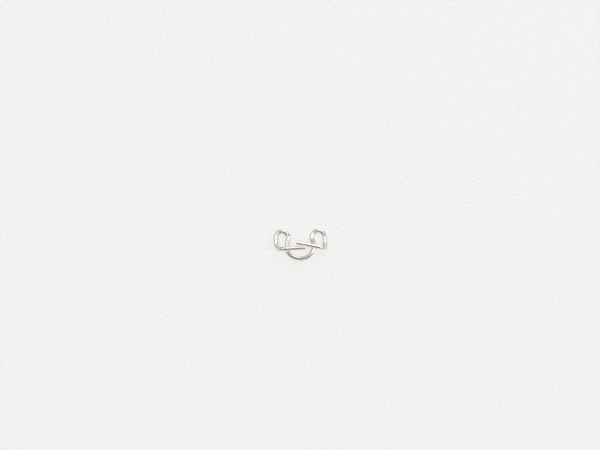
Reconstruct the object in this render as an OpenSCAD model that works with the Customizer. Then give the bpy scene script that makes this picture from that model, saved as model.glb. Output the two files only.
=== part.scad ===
// Retaining ring bent from one length of round spring wire.
// An open seat grips the groove of a pin. On each side the wire turns back into an ear,
// rises at the outer corner and comes back over the ear as a straight arm with a free end.
// Millimetres, +Z up. The seat and ears lie flat, with the pin's axis as the Z axis and
// the open side of the seat towards +Y. The ring is hand-bent, so its sides differ a little.

/* [Wire] */
// Diameter of the wire
wire_d = 0.52; // [0.3:0.01:0.8]
// Depth of the broken edge round each cut end
end_break = 0.03; // [0.01:0.01:0.1]

/* [Seat] */
// Diameter of the pin's groove that the seat holds
groove_d = 2.9; // [2.4:0.1:4]
// How much wider than the groove the seat's bottom curve is bent, on the radius
seat_ease = 0.2; // [0:0.05:0.4]

/* [Left side] */
// Turn of the seat's bottom curve, from its middle, in degrees
left_seat_turn = 52; // [30:1:70]
// Radius of the seat's side
left_cheek_r = 1; // [0.7:0.05:2]
// Turn of the seat's side, in degrees
left_cheek_turn = 50; // [30:1:100]
// Straight length from the seat to the ear
left_neck = 1.07; // [0.1:0.01:2]
// Radius of the ear's inner bend
left_ear_inner_r = 0.4; // [0.32:0.01:1.2]
// Turn of the ear's inner bend, in degrees
left_ear_inner_turn = 63; // [40:1:120]
// Straight length over the top of the ear
left_ear_top = 0.27; // [0.02:0.01:1]
// Radius of the ear's outer bend
left_ear_outer_r = 0.73; // [0.4:0.01:1.2]
// Turn of the ear's outer bend, in degrees
left_ear_outer_turn = 130; // [60:1:150]
// Straight length of the ear's outer leg
left_leg = 0.67; // [0.1:0.01:2]
// Radius of the bend that turns the foot of the leg inwards
left_foot_r = 0.58; // [0.4:0.01:1.5]
// Turn of that bend, in degrees; below zero it turns outwards
left_foot_turn = 29; // [-30:1:45]
// Straight length from that bend to the corner
left_foot = 0.06; // [0.02:0.01:1]

/* [Right side] */
// Turn of the seat's bottom curve, from its middle, in degrees
right_seat_turn = 24; // [10:1:70]
// Radius of the seat's side
right_cheek_r = 1.52; // [0.7:0.01:2]
// Turn of the seat's side, in degrees
right_cheek_turn = 92; // [30:1:100]
// Straight length from the seat to the ear
right_neck = 0.1; // [0.1:0.01:2]
// Radius of the ear's inner bend
right_ear_inner_r = 0.79; // [0.4:0.01:1.2]
// Turn of the ear's inner bend, in degrees
right_ear_inner_turn = 113; // [40:1:120]
// Straight length over the top of the ear
right_ear_top = 0.04; // [0.02:0.01:1]
// Radius of the ear's outer bend
right_ear_outer_r = 0.78; // [0.4:0.01:1.2]
// Turn of the ear's outer bend, in degrees
right_ear_outer_turn = 92; // [60:1:150]
// Straight length of the ear's outer leg
right_leg = 0.49; // [0.1:0.01:2]
// Radius of the bend at the foot of the leg
right_foot_r = 0.99; // [0.4:0.01:1.5]
// Turn of that bend, in degrees; below zero it turns outwards
right_foot_turn = -8; // [-30:1:45]
// Straight length from that bend to the corner
right_foot = 0.15; // [0.02:0.01:1]

/* [Corners and arms] */
// Radius of the bends at both ends of each riser
corner_r = 0.5; // [0.35:0.01:0.8]
// Turn of the left corner, from the foot up into the riser, in degrees
left_corner_turn = 88; // [70:1:110]
// Lean of the left corner's bend towards the middle, in degrees
left_corner_lean = 3; // [-20:1:20]
// Straight length of the left riser
left_riser = 1.32; // [0.2:0.01:3]
// Roll of the left arm's bend about the riser, in degrees
left_arm_roll = 116; // [60:1:130]
// Turn of the left arm's bend, in degrees
left_arm_turn = 88; // [70:1:110]
// Straight length of the left arm
left_arm = 2.63; // [1:0.01:4]
// Turn of the right corner, from the foot up into the riser, in degrees
right_corner_turn = 88; // [70:1:110]
// Lean of the right corner's bend towards the middle, in degrees
right_corner_lean = 10; // [-20:1:20]
// Straight length of the right riser
right_riser = 0.78; // [0.2:0.01:3]
// Roll of the right arm's bend about the riser, in degrees
right_arm_roll = 69; // [60:1:130]
// Turn of the right arm's bend, in degrees
right_arm_turn = 83; // [70:1:110]
// Straight length of the right arm
right_arm = 2.92; // [1:0.01:4]

/* [Hidden] */
$fn = 48;
wire_r = wire_d / 2;
// The middle of the wire's seat touches the groove, so it lies this far from the pin's axis
seat_y = groove_d / 2 + wire_r;
seat_r = seat_y + seat_ease;
// Share of a bend's half turn by which its two arcs overlap
overlap = 0.25;

// A straight run of wire along +Z of its own frame; what follows starts at its far end
module run(length) {
    cylinder(h = length, r = wire_r);
    translate([0, 0, length]) children();
}

// An arc of the wire about the Y axis, from one angle to another
module arc(radius, side, from, to) {
    if (to > from)
        rotate([90, 0, side < 0 ? 0 : 180])
            rotate_extrude(angle = to - from, start = from)
                translate([radius, 0])
                    circle(r = wire_r);
}

// A bend of the wire towards +X of its own frame, or towards -X for an angle below zero.
// Two arcs make it, one from each end, and they overlap in the middle: so it meets
// the wire before it and the wire after it face to face.
module bend(radius, angle) {
    side = angle < 0 ? -1 : 1;
    half_turn = abs(angle) / 2;
    translate([side * radius, 0, 0]) {
        arc(radius, side, 0, half_turn * (1 + overlap));
        rotate([0, angle, 0]) {
            arc(radius, side, -half_turn * (1 + overlap), 0);
            translate([-side * radius, 0, 0]) children();
        }
    }
}

// Rolls what follows about the wire, so that the next bend lies in another plane
module roll(angle) {
    rotate([0, 0, angle]) children();
}

// The sheared end of the wire, with its edge broken
module cut_end() {
    cylinder(h = end_break, r1 = wire_r, r2 = wire_r - end_break);
}

// Half of the ring, bend by bend, from the middle of the seat to the free end of its arm
module half(seat_turn, cheek_r, cheek_turn, neck, ear_inner_r, ear_inner_turn, ear_top,
            ear_outer_r, ear_outer_turn, leg, foot_r, foot_turn, foot,
            corner_turn, corner_lean, riser, arm_roll, arm_turn, arm) {
    translate([0, -seat_y, wire_r])
        rotate([90, 0, 90])
            bend(seat_r, seat_turn) bend(cheek_r, cheek_turn) run(neck)
            bend(ear_inner_r, -ear_inner_turn) run(ear_top) bend(ear_outer_r, -ear_outer_turn)
            run(leg) bend(foot_r, -foot_turn) run(foot)
            roll(90 + corner_lean) bend(corner_r, corner_turn) run(riser)
            roll(arm_roll) bend(corner_r, arm_turn) run(arm) cut_end();
}

// The whole ring, one unbroken wire
module wire() {
    color([0.78, 0.75, 0.69]) {
        mirror([1, 0, 0])
            half(left_seat_turn, left_cheek_r, left_cheek_turn, left_neck,
                 left_ear_inner_r, left_ear_inner_turn, left_ear_top,
                 left_ear_outer_r, left_ear_outer_turn, left_leg,
                 left_foot_r, left_foot_turn, left_foot,
                 left_corner_turn, left_corner_lean, left_riser,
                 left_arm_roll, left_arm_turn, left_arm);
        half(right_seat_turn, right_cheek_r, right_cheek_turn, right_neck,
             right_ear_inner_r, right_ear_inner_turn, right_ear_top,
             right_ear_outer_r, right_ear_outer_turn, right_leg,
             right_foot_r, right_foot_turn, right_foot,
             right_corner_turn, right_corner_lean, right_riser,
             right_arm_roll, right_arm_turn, right_arm);
    }
}

wire();
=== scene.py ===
"""Retaining ring bent from one length of bright spring wire, lying on a pale sheet."""

import math

import bpy
import numpy as np
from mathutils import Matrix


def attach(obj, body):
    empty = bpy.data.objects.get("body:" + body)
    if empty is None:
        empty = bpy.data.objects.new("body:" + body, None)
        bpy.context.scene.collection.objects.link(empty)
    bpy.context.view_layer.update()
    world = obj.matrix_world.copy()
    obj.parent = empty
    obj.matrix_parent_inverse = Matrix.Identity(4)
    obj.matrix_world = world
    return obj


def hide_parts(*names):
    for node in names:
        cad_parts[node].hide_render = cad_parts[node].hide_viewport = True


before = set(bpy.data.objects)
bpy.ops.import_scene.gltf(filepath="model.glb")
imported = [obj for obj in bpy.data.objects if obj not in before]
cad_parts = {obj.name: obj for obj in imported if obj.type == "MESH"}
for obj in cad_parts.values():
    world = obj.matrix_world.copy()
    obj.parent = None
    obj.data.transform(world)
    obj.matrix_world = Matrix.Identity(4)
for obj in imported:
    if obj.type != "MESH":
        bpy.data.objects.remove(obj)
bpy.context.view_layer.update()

MM = 0.001  # one millimetre in metres; every length below is in millimetres

# The wire, and the groove that its seat holds
NOMINAL_R = 0.26
WIRE_R = 0.97 * NOMINAL_R  # the real wire is a little under its nominal size
GROOVE_R = 1.45
SEAT_EASE = 0.2  # how much wider than the groove the seat's bottom curve is bent
SEAT_Y = GROOVE_R + NOMINAL_R
SEAT_R = SEAT_Y + SEAT_EASE
CORNER_R = 0.5
END_BREAK = 0.03  # length of the broken edge at each free end

# Each half of the ring from the middle of the seat to its free end, bend by bend:
# ("bend", radius, degrees), ("run", length) or ("roll", degrees about the wire)
LEFT = [
    ("bend", SEAT_R, 52), ("bend", 1.0, 50), ("run", 1.07),  # seat, its side and the neck
    ("bend", 0.4, -63), ("run", 0.27), ("bend", 0.73, -130),  # ear
    ("run", 0.67), ("bend", 0.58, -29), ("run", 0.06),  # leg and foot
    ("roll", 93), ("bend", CORNER_R, 88), ("run", 1.32),  # corner and riser
    ("roll", 116), ("bend", CORNER_R, 88), ("run", 2.63 + END_BREAK),  # arm
]
RIGHT = [
    ("bend", SEAT_R, 24), ("bend", 1.52, 92), ("run", 0.1),  # seat, its side and the neck
    ("bend", 0.79, -113), ("run", 0.04), ("bend", 0.78, -92),  # ear
    ("run", 0.49), ("bend", 0.99, 8), ("run", 0.15),  # leg and foot
    ("roll", 100), ("bend", CORNER_R, 88), ("run", 0.78),  # corner and riser
    ("roll", 69), ("bend", CORNER_R, 83), ("run", 2.92 + END_BREAK),  # arm
]

# The mesh
STEP = 0.017  # length of wire between two rings of vertices
AROUND = 60  # vertices in a ring
ANGLE = np.arange(AROUND) * (2 * math.pi / AROUND)  # each vertex's place in its ring, in radians
SPOKE = np.stack([np.cos(ANGLE), np.sin(ANGLE)])
EDGE_RINGS, FACE_RINGS = 6, 12  # rings that round each cut end's edge and close its face
INNERMOST = 0.1  # radius of the face's smallest ring, as a share of its largest
EASE = 0.035  # how softly a straight run goes over into a bend
STRAIGHT = 1e-6  # below this share of wire radius over bend radius, the wire counts as straight

# What bending does to the round section
SQUASH = 0.09  # how much flatter a bend gets in its own plane
PRESS = 0.035  # how far the former presses the inside of a bend flat
NIP = 0.004  # how deep the former's edges nip the inside where a bend starts and ends

# How the drawn wire's radius wanders, as a share, and the two waves in which it does:
# radians to the millimetre, start in radians, and height
WANDER = 0.0025
WAVES = [(2.9, 0.6, 1.0), (7.7, 2.1, 0.6)]

# Where the hand-bent wire strays from its plan: length along it from the middle of the seat,
# left below zero, how far each way the nudge reaches, and how far it goes aside in X and Y
NUDGES = {
    "left_arm_root": (-9.5, 0.45, 0.023, 0.031),
    "left_corner": (-7.5, 0.25, -0.03, 0.053),
    "left_shoulder": (-6.0, 0.25, -0.031, 0.006),
    "left_ear_inside": (-4.6, 0.3, 0.018, 0.024),
    "left_neck": (-3.2, 0.4, 0.009, 0.025),
    "left_cheek": (-2.3, 0.4, 0.06, 0.01),
    "left_seat": (-1.4, 0.4, 0.025, 0.0),
    "right_seat": (1.2, 0.5, -0.007, 0.026),
    "right_cheek": (2.4, 0.6, -0.028, 0.003),
    "right_neck": (4.2, 0.25, 0.035, -0.019),
    "right_shoulder": (5.7, 0.25, -0.031, -0.019),
    "right_foot": (6.8, 0.4, 0.016, 0.014),
    "right_arm_root": (8.8, 0.3, -0.057, 0.046),
    "right_arm": (10.5, 0.8, 0.01, -0.004),
    "right_tip": (12.3, 0.7, 0.01, -0.035),
}

# What the shear leaves at each end
EDGE_R = 0.034  # rounding of the edge, on average
ROLL_OVER = 0.8  # how much more the edge rolls over where the blade enters
BURR = 0.012  # height of the burr where it leaves
BURR_BREADTH = 0.03
TEAR = 0.014  # how deep the torn part of the face lies
TEAR_STEEPNESS = 7  # how steeply the face drops to it
TEAR_WAVES, TEAR_WAVE = 3, 0.12  # waves of its border, and their height as a share of WIRE_R
SHEAR = 0.06  # how far out of square the face is
BLADE_LEFT, BLADE_RIGHT = 1.2, 4.0  # side from which the blade came, in radians round the wire
END_LENGTH = 2 * EDGE_R  # what each end takes of the wire's length, more than its widest edge

# The steel's tones
STEEL, STEEL_DULL = (0.733, 0.712, 0.666, 1), (0.683, 0.661, 0.612, 1)
DRAWN_LINE = (0.55, 0.515, 0.43, 1)
WORN = (0.53, 0.50, 0.43, 1)
FRESH_CUT = (0.60, 0.585, 0.56, 1)

# How many of each mark there are to the millimetre, across the wire twice and along it
LINES = (26, 26, 0.55)
HAIRS = (75, 75, 1.4)
TONES = (2.2, 2.2, 0.9)
SCUFFS = (8, 8, 60)
GRAIN = 34.0

# Roughness beside the drawn lines and on them, and what each other mark adds
ROUGH_FROM, ROUGH_TO = 0.2, 0.3
ROUGH_MORE = {"hairs": 0.06, "outside": 0.07, "worn": 0.12, "cut": 0.15}

# Depth of the drawn lines, and each other mark's as a share of it
LINE_DEPTH = 0.0016
DEPTH_SHARE = {"hairs": 0.35, "outside": 1.6, "inside": 1.2, "cut": 3.0}

# The sheet that the ring lies on
SHEET_W = 3000.0
SHEET_GRAIN = 5200.0  # mottles per metre
SHEET_DARK, SHEET_PALE = (0.812, 0.817, 0.819, 1), (0.947, 0.952, 0.955, 1)
SHEET_OWN_TONE = 0.765  # share of its own pale tone, against what the lamps give it

# The lamps, each as azimuth from +X towards +Y, tilt from straight up, breadth and height
# as seen from the ring, all in degrees, and brightness
LAMP_FAR = 700.0  # from the ring
LAMPS = {
    "softbox_right": (-13.6, 43.1, 33, 65.4, 2.4),
    "softbox_left": (165.5, 31.9, 44.2, 39.3, 2.3),
    "softbox_back": (69.6, 52.1, 41.5, 63.5, 2.1),
    "pale_wall_back": (108.9, 67, 30.2, 48.3, 0.2),
    "pale_wall_front": (264.9, 76.9, 47.7, 49.6, 0.7),
}

# The room round them
ROOM_LOW, ROOM_HIGH = 0.392, 0.012  # its brightness near the floor and overhead
ROOM_FROM, ROOM_TO = 0.15, 0.6  # heights between which that changes, where 1 is straight up
ROOM_LEAN = (-0.22, -0.1, 0)  # how much brighter it is on the +X and +Y sides, as a share
ROOM_COLOUR = (1.24, 0.98, 0.5, 1)  # warmer than the lamps

# The view: straight down, the frame's width at the sheet, and its middle
FRAME_W = 74.14
VIEW_X, VIEW_Y = -0.03, 2.44
CAMERA_H = 600.0  # above the sheet
SENSOR = 36.0  # width of the camera's own frame


def walk(steps):
    """The half's centre line as whole arrays: place, the two side directions and the curvature.

    Along a run the place is start + s * heading. Along a bend of radius r towards the
    direction d it is start + d * r * (1 - cos(s / r)) + heading * r * sin(s / r), and the
    heading and side directions turn by s / r about heading x d, so the wire never twists.
    """
    place = np.array([0.0, -SEAT_Y, WIRE_R])
    side, up, ahead = np.array([0.0, 1, 0]), np.array([0.0, 0, 1]), np.array([1.0, 0, 0])
    rolled, parts = 0.0, []
    for kind, *size in steps:
        if kind == "roll":
            rolled += math.radians(size[0])
            continue
        length = size[0] if kind == "run" else size[0] * math.radians(abs(size[1]))
        count = max(2, round(length / STEP))
        s = np.linspace(0, length, count + 1)[:, None]
        if kind == "run":
            centre, curve = place + s * ahead, np.zeros(2)
            sides, ups, aheads = (
                np.repeat(way[None], count + 1, 0) for way in (side, up, ahead))
        else:
            sign = math.copysign(1, size[1])
            curve = sign / size[0] * np.array([math.cos(rolled), math.sin(rolled)])
            to = sign * (side * math.cos(rolled) + up * math.sin(rolled))
            axis, angle = np.cross(ahead, to), s / size[0]
            centre = place + to * size[0] * (1 - np.cos(angle)) + ahead * size[0] * np.sin(angle)
            sides, ups, aheads = (
                way * np.cos(angle) + np.cross(axis, way) * np.sin(angle)
                + axis * (axis @ way) * (1 - np.cos(angle))
                for way in (side, up, ahead)
            )
        place, side, up, ahead = centre[-1], sides[-1], ups[-1], aheads[-1]
        parts.append((centre[:-1], sides[:-1], ups[:-1], np.repeat(curve[None], count, 0)))
    parts.append((place[None], side[None], up[None], np.zeros((1, 2))))
    return [np.concatenate(rows) for rows in zip(*parts)]


def whole_wire():
    """The centre line from the left free end to the right one, and the row of the seat's middle.

    The left half is mirrored in X and turned round. Its curvature is told along its own side
    directions, which are mirrored with it, so that stays as it is.
    """
    mirror = np.array([-1.0, 1, 1])
    *of_left, left_curve = walk(LEFT)
    of_left = [rows * mirror for rows in of_left] + [left_curve]
    both = [
        np.concatenate([left[:0:-1], right]) for left, right in zip(of_left, walk(RIGHT))
    ]
    return both, len(left_curve) - 1


def eased(values, width):
    """Each column blended along the wire with a bell-shaped weight of the given width.

    The weight is exp(-(s / width)^2 / 2) as far as three widths. Past its two ends the wire
    counts as going straight on.
    """
    reach = int(3 * width / STEP) + 1
    weight = np.exp(-0.5 * (np.arange(-reach, reach + 1) * STEP / width) ** 2)
    weight /= weight.sum()
    ramp = np.arange(reach, 0, -1)[:, None]
    before = values[0] - ramp * (values[1] - values[0])
    after = values[-1] + ramp[::-1] * (values[-1] - values[-2])
    padded = np.concatenate([before, values, after])
    return np.stack([np.convolve(column, weight, "valid") for column in padded.T], 1)


def unit(v):
    """Each row's vector at length 1."""
    return v / np.linalg.norm(v, axis=1, keepdims=True)


def strayed(along):
    """The wire's offset in X and Y at each length.

    It is the sum of the nudges, each its own offset times exp(-((along - place) / reach)^2 / 2).
    """
    place, reach, *aside = np.array(list(NUDGES.values())).T[:, :, None]
    bell = np.exp(-0.5 * ((along - place) / reach) ** 2)
    return np.stack([(bell * way).sum(0) for way in aside], 1)


def section(curve, along):
    """The wire's radius and the strain, at each length along it and each angle round it.

    The strain is q * cos b, where q is wire radius over bend radius and b the angle from the
    inside of the bend. The radius is the wire's own, times 1 + SQUASH * q * (1/2 - cos^2 b)
    - PRESS * q * max(0, cos b)^4 - NIP * |dq/ds| * max(0, cos b)^2 + WANDER * (the waves of s).
    """
    strain = curve @ SPOKE
    q = np.linalg.norm(curve, axis=1)[:, None]
    bent = np.maximum(q, STRAIGHT)
    inner = np.maximum(0, strain / bent)
    change = np.linalg.norm(np.gradient(curve, along, axis=0), axis=1)[:, None]
    waves = sum(height * np.sin(pace * along + start) for pace, start, height in WAVES)
    radius = WIRE_R * (
        1 + SQUASH * (0.5 * q - strain ** 2 / bent) - PRESS * q * inner ** 4
        - NIP * change * inner ** 2 + WANDER * waves[:, None]
    )
    return radius, strain


def cut_end(centre, outward, spokes, radius, blade):
    """One cut end's points, their radii, their lengths beyond the wire's end, and the cut's share.

    The edge is a quarter circle of radius EDGE_R * (1 + ROLL_OVER * cos c), with c the angle
    from the blade's side. The face is a plane that leans by SHEAR * x, with x = r * cos c,
    sinks by TEAR in its torn half, x < 0, and stands up by BURR at the edge there. The cut's
    share rises as sin^6 over the edge to 1 on the face, and is halved on the face's sound half.
    """
    c = ANGLE - blade
    edge = EDGE_R * (1 + ROLL_OVER * np.cos(c))
    turn = np.linspace(0, math.pi / 2, EDGE_RINGS + 1)[1:, None]
    rim = radius - edge * (1 - np.cos(turn))
    face = rim[-1] * np.linspace(1, INNERMOST, FACE_RINGS + 1)[1:, None]
    rings = np.concatenate([rim, face])
    on_face = np.repeat([0.0, 1.0], [EDGE_RINGS, FACE_RINGS])[:, None]

    x = rings * np.cos(c)
    border = x / WIRE_R + TEAR_WAVE * np.sin(TEAR_WAVES * ANGLE + blade)
    torn = 0.5 - 0.5 * np.tanh(TEAR_STEEPNESS * border)
    near_edge = np.exp(-((radius - edge - rings) / BURR_BREADTH) ** 2)
    depth = TEAR * on_face * torn * (1 - near_edge)
    burr = BURR * near_edge * torn * np.maximum(0, -np.cos(c)) ** 2
    rounded = np.concatenate([edge * (np.sin(turn) - 1), np.zeros((FACE_RINGS, AROUND))])
    reach = rounded + SHEAR * x - depth + burr
    points = centre + rings[:, :, None] * spokes + reach[:, :, None] * outward
    share = np.concatenate([np.sin(turn) ** 6, on_face[EDGE_RINGS:]]) * (0.5 + 0.5 * torn)
    return points, rings, reach, share


def wire_surface():
    """The wire's skin on a grid: rings along the centre line, and over each cut end to its middle.

    A point is centre(s) + radius(s, a) * (side(s) * cos a + up(s) * sin a). With it come its
    place on the straightened wire, the strain of bending there and the cut's share.
    """
    (centre, side, up, curve), middle = whole_wire()
    centre = eased(centre, EASE)
    along = np.concatenate([[0], np.cumsum(np.linalg.norm(np.diff(centre, axis=0), axis=1))])
    centre[:, :2] += strayed(along - along[middle])
    ahead = unit(np.gradient(centre, axis=0))
    side = unit(side - ahead * (side * ahead).sum(1, keepdims=True))
    up = np.cross(ahead, side)
    radius, strain = section(eased(curve, 2 * EASE) * WIRE_R, along)
    spokes = side[:, None] * SPOKE[0][:, None] + up[:, None] * SPOKE[1][:, None]
    tube = centre[:, None] + radius[:, :, None] * spokes

    first, first_r, first_out, first_cut = (
        rows[::-1] for rows in cut_end(centre[0], -ahead[0], spokes[0], radius[0], BLADE_LEFT))
    last, last_r, last_out, last_cut = cut_end(
        centre[-1], ahead[-1], spokes[-1], radius[-1], BLADE_RIGHT)
    # The tube stops short of each end, whose own rings go on to the wire's full length
    keep = (along > END_LENGTH) & (along < along[-1] - END_LENGTH)
    grid = np.concatenate([first, tube[keep], last])
    rings = np.concatenate([first_r, radius[keep], last_r])
    lengths = np.repeat(along[keep][:, None], AROUND, 1)
    lengths = np.concatenate([-first_out, lengths, along[-1] + last_out])
    place = np.stack([rings * SPOKE[0], rings * SPOKE[1], lengths], 2)
    unbent = np.zeros_like(first_r)
    strain = np.concatenate([unbent, strain[keep], unbent])
    cut = np.concatenate([first_cut, np.zeros((keep.sum(), AROUND)), last_cut])
    return grid, place, strain, cut


def skin(name, grid, place, strain, cut):
    """A closed mesh from rings of vertices: quads between rings, and a fan round each end's middle."""
    rings, around = grid.shape[:2]
    vertex = np.arange(rings * around).reshape(rings, around)
    beside = np.roll(vertex, -1, 1)
    quads = np.stack([vertex[:-1], beside[:-1], beside[1:], vertex[1:]], 2).reshape(-1, 4)
    first_middle, last_middle = rings * around, rings * around + 1
    fans = np.concatenate([
        np.stack([np.full(around, first_middle), beside[0], vertex[0]], 1),
        np.stack([np.full(around, last_middle), vertex[-1], beside[-1]], 1),
    ])

    def with_middles(values):
        """The grid's values as rows, then the mean of each end's innermost ring."""
        rows = values.reshape(rings * around, -1)
        return np.concatenate([rows, rows[:around].mean(0)[None], rows[-around:].mean(0)[None]])

    mesh = bpy.data.meshes.new(name)
    mesh.from_pydata(with_middles(grid) * MM, [], quads.tolist() + fans.tolist())
    mesh.shade_smooth()
    mesh.attributes.new("wire_place", "FLOAT_VECTOR", "POINT").data.foreach_set(
        "vector", with_middles(place).astype(np.float32).ravel())
    for label, values in (("strain", strain), ("cut", cut)):
        mesh.attributes.new(label, "FLOAT", "POINT").data.foreach_set(
            "value", with_middles(values).astype(np.float32).ravel())
    mesh.validate()
    piece = bpy.data.objects.new(name, mesh)
    bpy.context.scene.collection.objects.link(piece)
    return piece


class Nodes:
    """Short calls for building one material's nodes."""

    def __init__(self, tree):
        self.tree = tree
        tree.nodes.clear()

    def add(self, kind, settings=None, **inputs):
        """A node with its settings and inputs: i0, i1 and so on are sockets by number."""
        node = self.tree.nodes.new(kind)
        for key, value in (settings or {}).items():
            setattr(node, key, value)
        for key, value in inputs.items():
            numbered = key[0] == "i" and key[1:].isdigit()
            socket = node.inputs[int(key[1:]) if numbered else key.replace("_", " ")]
            if isinstance(value, bpy.types.NodeSocket):
                self.tree.links.new(value, socket)
            else:
                socket.default_value = value
        return node

    def attribute(self, name, output):
        return self.add("ShaderNodeAttribute", {"attribute_name": name}).outputs[output]

    def math(self, operation, a, b):
        return self.add("ShaderNodeMath", {"operation": operation}, i0=a, i1=b).outputs[0]

    def plus(self, a, b, share):
        """The value a and a share of b."""
        return self.math("ADD", a, self.math("MULTIPLY", b, share))

    def scaled(self, vector, scale):
        return self.add("ShaderNodeVectorMath", {"operation": "MULTIPLY"},
                        i0=vector, i1=scale).outputs[0]

    def noise(self, vector, detail, roughness, scale=1.0):
        return self.add("ShaderNodeTexNoise", Vector=vector, Scale=scale, Detail=detail,
                        Roughness=roughness).outputs["Fac"]

    def ramp(self, value, low, high, to_low=0.0, to_high=1.0):
        return self.add("ShaderNodeMapRange", {"interpolation_type": "SMOOTHSTEP"}, i0=value,
                        i1=low, i2=high, i3=to_low, i4=to_high).outputs[0]

    def mix(self, share, a, b):
        return self.add("ShaderNodeMix", {"data_type": "RGBA"}, i0=share, i6=a, i7=b).outputs[2]


def spring_steel():
    """Bright drawn spring wire: fine lines along it, dulled where the former bent it, grey where cut."""
    material = bpy.data.materials.new("drawn_spring_steel")
    material.use_nodes = True
    nodes = Nodes(material.node_tree)
    place = nodes.attribute("wire_place", "Vector")
    strain = nodes.attribute("strain", "Fac")
    cut = nodes.attribute("cut", "Fac")

    # Lines left by the drawing die, and the slow change of tone along the wire
    lines = nodes.noise(nodes.scaled(place, LINES), detail=3.0, roughness=0.6)
    hairs = nodes.noise(nodes.scaled(place, HAIRS), detail=2.0, roughness=0.6)
    tone = nodes.noise(nodes.scaled(place, TONES), detail=3.0, roughness=0.5)
    # Where the wire was bent: stretched outside, pressed and scuffed inside
    outside = nodes.ramp(nodes.math("MULTIPLY", strain, -1.0), low=0.12, high=0.6)
    inside = nodes.ramp(strain, low=0.15, high=0.55)
    grain = nodes.noise(place, detail=3.0, roughness=0.65, scale=GRAIN)
    scuffs = nodes.noise(nodes.scaled(place, SCUFFS), detail=3.0, roughness=0.7)
    worn = nodes.math("MULTIPLY", inside, nodes.ramp(scuffs, low=0.4, high=0.65))

    colour = nodes.mix(nodes.ramp(tone, low=0.3, high=0.7), STEEL, STEEL_DULL)
    in_line = nodes.ramp(lines, low=0.52, high=0.75)
    marks = [(in_line, 0.35, DRAWN_LINE), (worn, 0.45, WORN), (cut, 0.5, FRESH_CUT)]
    for mark, strength, mark_tone in marks:
        colour = nodes.mix(nodes.math("MULTIPLY", mark, strength), colour, mark_tone)

    rough = nodes.ramp(lines, low=0.3, high=0.7, to_low=ROUGH_FROM, to_high=ROUGH_TO)
    rough = nodes.plus(rough, nodes.ramp(hairs, low=0.45, high=0.75), ROUGH_MORE["hairs"])
    rough = nodes.plus(rough, outside, ROUGH_MORE["outside"])
    rough = nodes.plus(rough, worn, ROUGH_MORE["worn"])
    rough = nodes.plus(rough, cut, ROUGH_MORE["cut"])

    height = nodes.plus(lines, hairs, DEPTH_SHARE["hairs"])
    height = nodes.plus(height, nodes.math("MULTIPLY", grain, outside), DEPTH_SHARE["outside"])
    height = nodes.plus(height, nodes.math("MULTIPLY", scuffs, inside), DEPTH_SHARE["inside"])
    height = nodes.plus(height, nodes.math("MULTIPLY", grain, cut), DEPTH_SHARE["cut"])
    bump = nodes.add("ShaderNodeBump", Strength=1.0, Distance=LINE_DEPTH * MM, Height=height)
    shader = nodes.add("ShaderNodeBsdfPrincipled", Base_Color=colour, Metallic=1.0,
                       Roughness=rough, Normal=bump.outputs[0])
    nodes.add("ShaderNodeOutputMaterial", Surface=shader.outputs[0])
    return material


def pale_sheet():
    """Plain pale sheet with a fine mottling.

    Seen directly or in the wire it is mostly its own pale tone, and for the rest it is lit by
    the lamps, so that the wire's faint shadows show on it.
    """
    material = bpy.data.materials.new("pale_sheet")
    material.use_nodes = True
    nodes = Nodes(material.node_tree)
    place = nodes.add("ShaderNodeTexCoord").outputs["Object"]
    grain = nodes.noise(place, detail=2.0, roughness=0.6, scale=SHEET_GRAIN)
    colour = nodes.mix(nodes.ramp(grain, low=0.25, high=0.75), SHEET_DARK, SHEET_PALE)
    ray = nodes.add("ShaderNodeLightPath").outputs
    seen = nodes.math("MAXIMUM", ray["Is Camera Ray"], ray["Is Glossy Ray"])
    seen = nodes.math("MAXIMUM", seen, ray["Is Transmission Ray"])
    own = nodes.add("ShaderNodeEmission", Color=colour, Strength=1.0)
    lit = nodes.add("ShaderNodeBsdfDiffuse", Color=colour)
    own_share = nodes.math("MULTIPLY", seen, SHEET_OWN_TONE)
    both = nodes.add("ShaderNodeMixShader", i0=own_share, i1=lit.outputs[0], i2=own.outputs[0])
    nodes.add("ShaderNodeOutputMaterial", Surface=both.outputs[0])
    return material


def floor():
    """A flat square sheet in the plane on which the ring lies."""
    mesh = bpy.data.meshes.new("floor")
    half = SHEET_W / 2 * MM
    corners = [(-half, -half, 0), (half, -half, 0), (half, half, 0), (-half, half, 0)]
    mesh.from_pydata(corners, [], [(0, 1, 2, 3)])
    sheet = bpy.data.objects.new("floor", mesh)
    bpy.context.scene.collection.objects.link(sheet)
    mesh.materials.append(pale_sheet())


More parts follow.
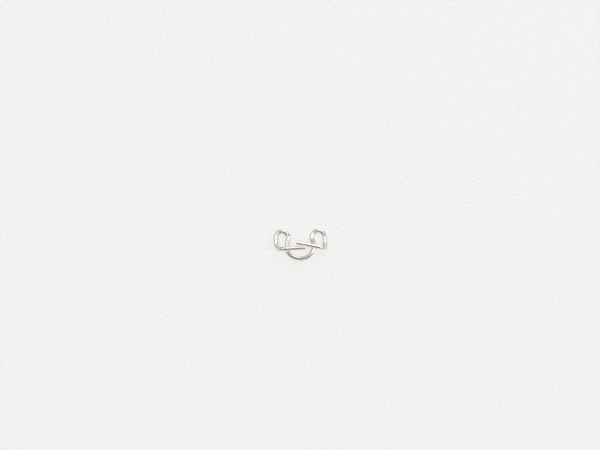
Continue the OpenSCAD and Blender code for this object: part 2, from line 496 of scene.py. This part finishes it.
def softbox(name, azimuth, tilt, breadth, height, brightness):
    """A soft rectangular lamp that faces the ring, given by how the ring sees it."""
    lamp = bpy.data.lights.new(name, "AREA")
    lamp.shape = "RECTANGLE"
    lamp.size, lamp.size_y = (
        2 * LAMP_FAR * MM * math.tan(math.radians(seen) / 2) for seen in (height, breadth))
    lamp.energy = brightness * math.pi * lamp.size * lamp.size_y
    box = bpy.data.objects.new(name, lamp)
    turned, leant = math.radians(azimuth), math.radians(tilt)
    away = (math.sin(leant) * math.cos(turned), math.sin(leant) * math.sin(turned), math.cos(leant))
    box.location = [LAMP_FAR * MM * part for part in away]
    box.rotation_euler = (0, leant, turned)
    bpy.context.scene.collection.objects.link(box)


def room():
    """The room round the lamps: its brightness falls smoothly with height.

    That is ROOM_LOW below the height ROOM_FROM, ROOM_HIGH above ROOM_TO and a smooth step
    between them, times 1 + direction . ROOM_LEAN.
    """
    world = bpy.data.worlds.new("room")
    bpy.context.scene.world = world
    world.use_nodes = True
    nodes = Nodes(world.node_tree)
    way = nodes.add("ShaderNodeTexCoord").outputs["Generated"]
    height = nodes.add("ShaderNodeSeparateXYZ", Vector=way).outputs["Z"]
    lean = nodes.add("ShaderNodeVectorMath", {"operation": "DOT_PRODUCT"},
                     i0=way, i1=ROOM_LEAN).outputs["Value"]
    bright = nodes.math("MULTIPLY", nodes.ramp(height, ROOM_FROM, ROOM_TO, ROOM_LOW, ROOM_HIGH),
                        nodes.math("ADD", lean, 1.0))
    walls = nodes.add("ShaderNodeBackground", Color=ROOM_COLOUR, Strength=bright)
    nodes.add("ShaderNodeOutputWorld", Surface=walls.outputs[0])


def overhead_camera():
    """The camera, straight above the middle of the view."""
    camera = bpy.data.objects.new("camera", bpy.data.cameras.new("camera"))
    camera.data.sensor_width = SENSOR
    camera.data.lens = SENSOR * CAMERA_H / FRAME_W
    camera.location = (VIEW_X * MM, VIEW_Y * MM, CAMERA_H * MM)
    bpy.context.scene.collection.objects.link(camera)
    bpy.context.scene.camera = camera


ring = skin("ring_wire", *wire_surface())
ring.data.materials.append(spring_steel())
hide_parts("wire")
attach(ring, "root")

floor()
for name, placing in LAMPS.items():
    softbox(name, *placing)
room()
overhead_camera()
bpy.context.scene.view_settings.view_transform = "Standard"

bpy.context.view_layer.update()
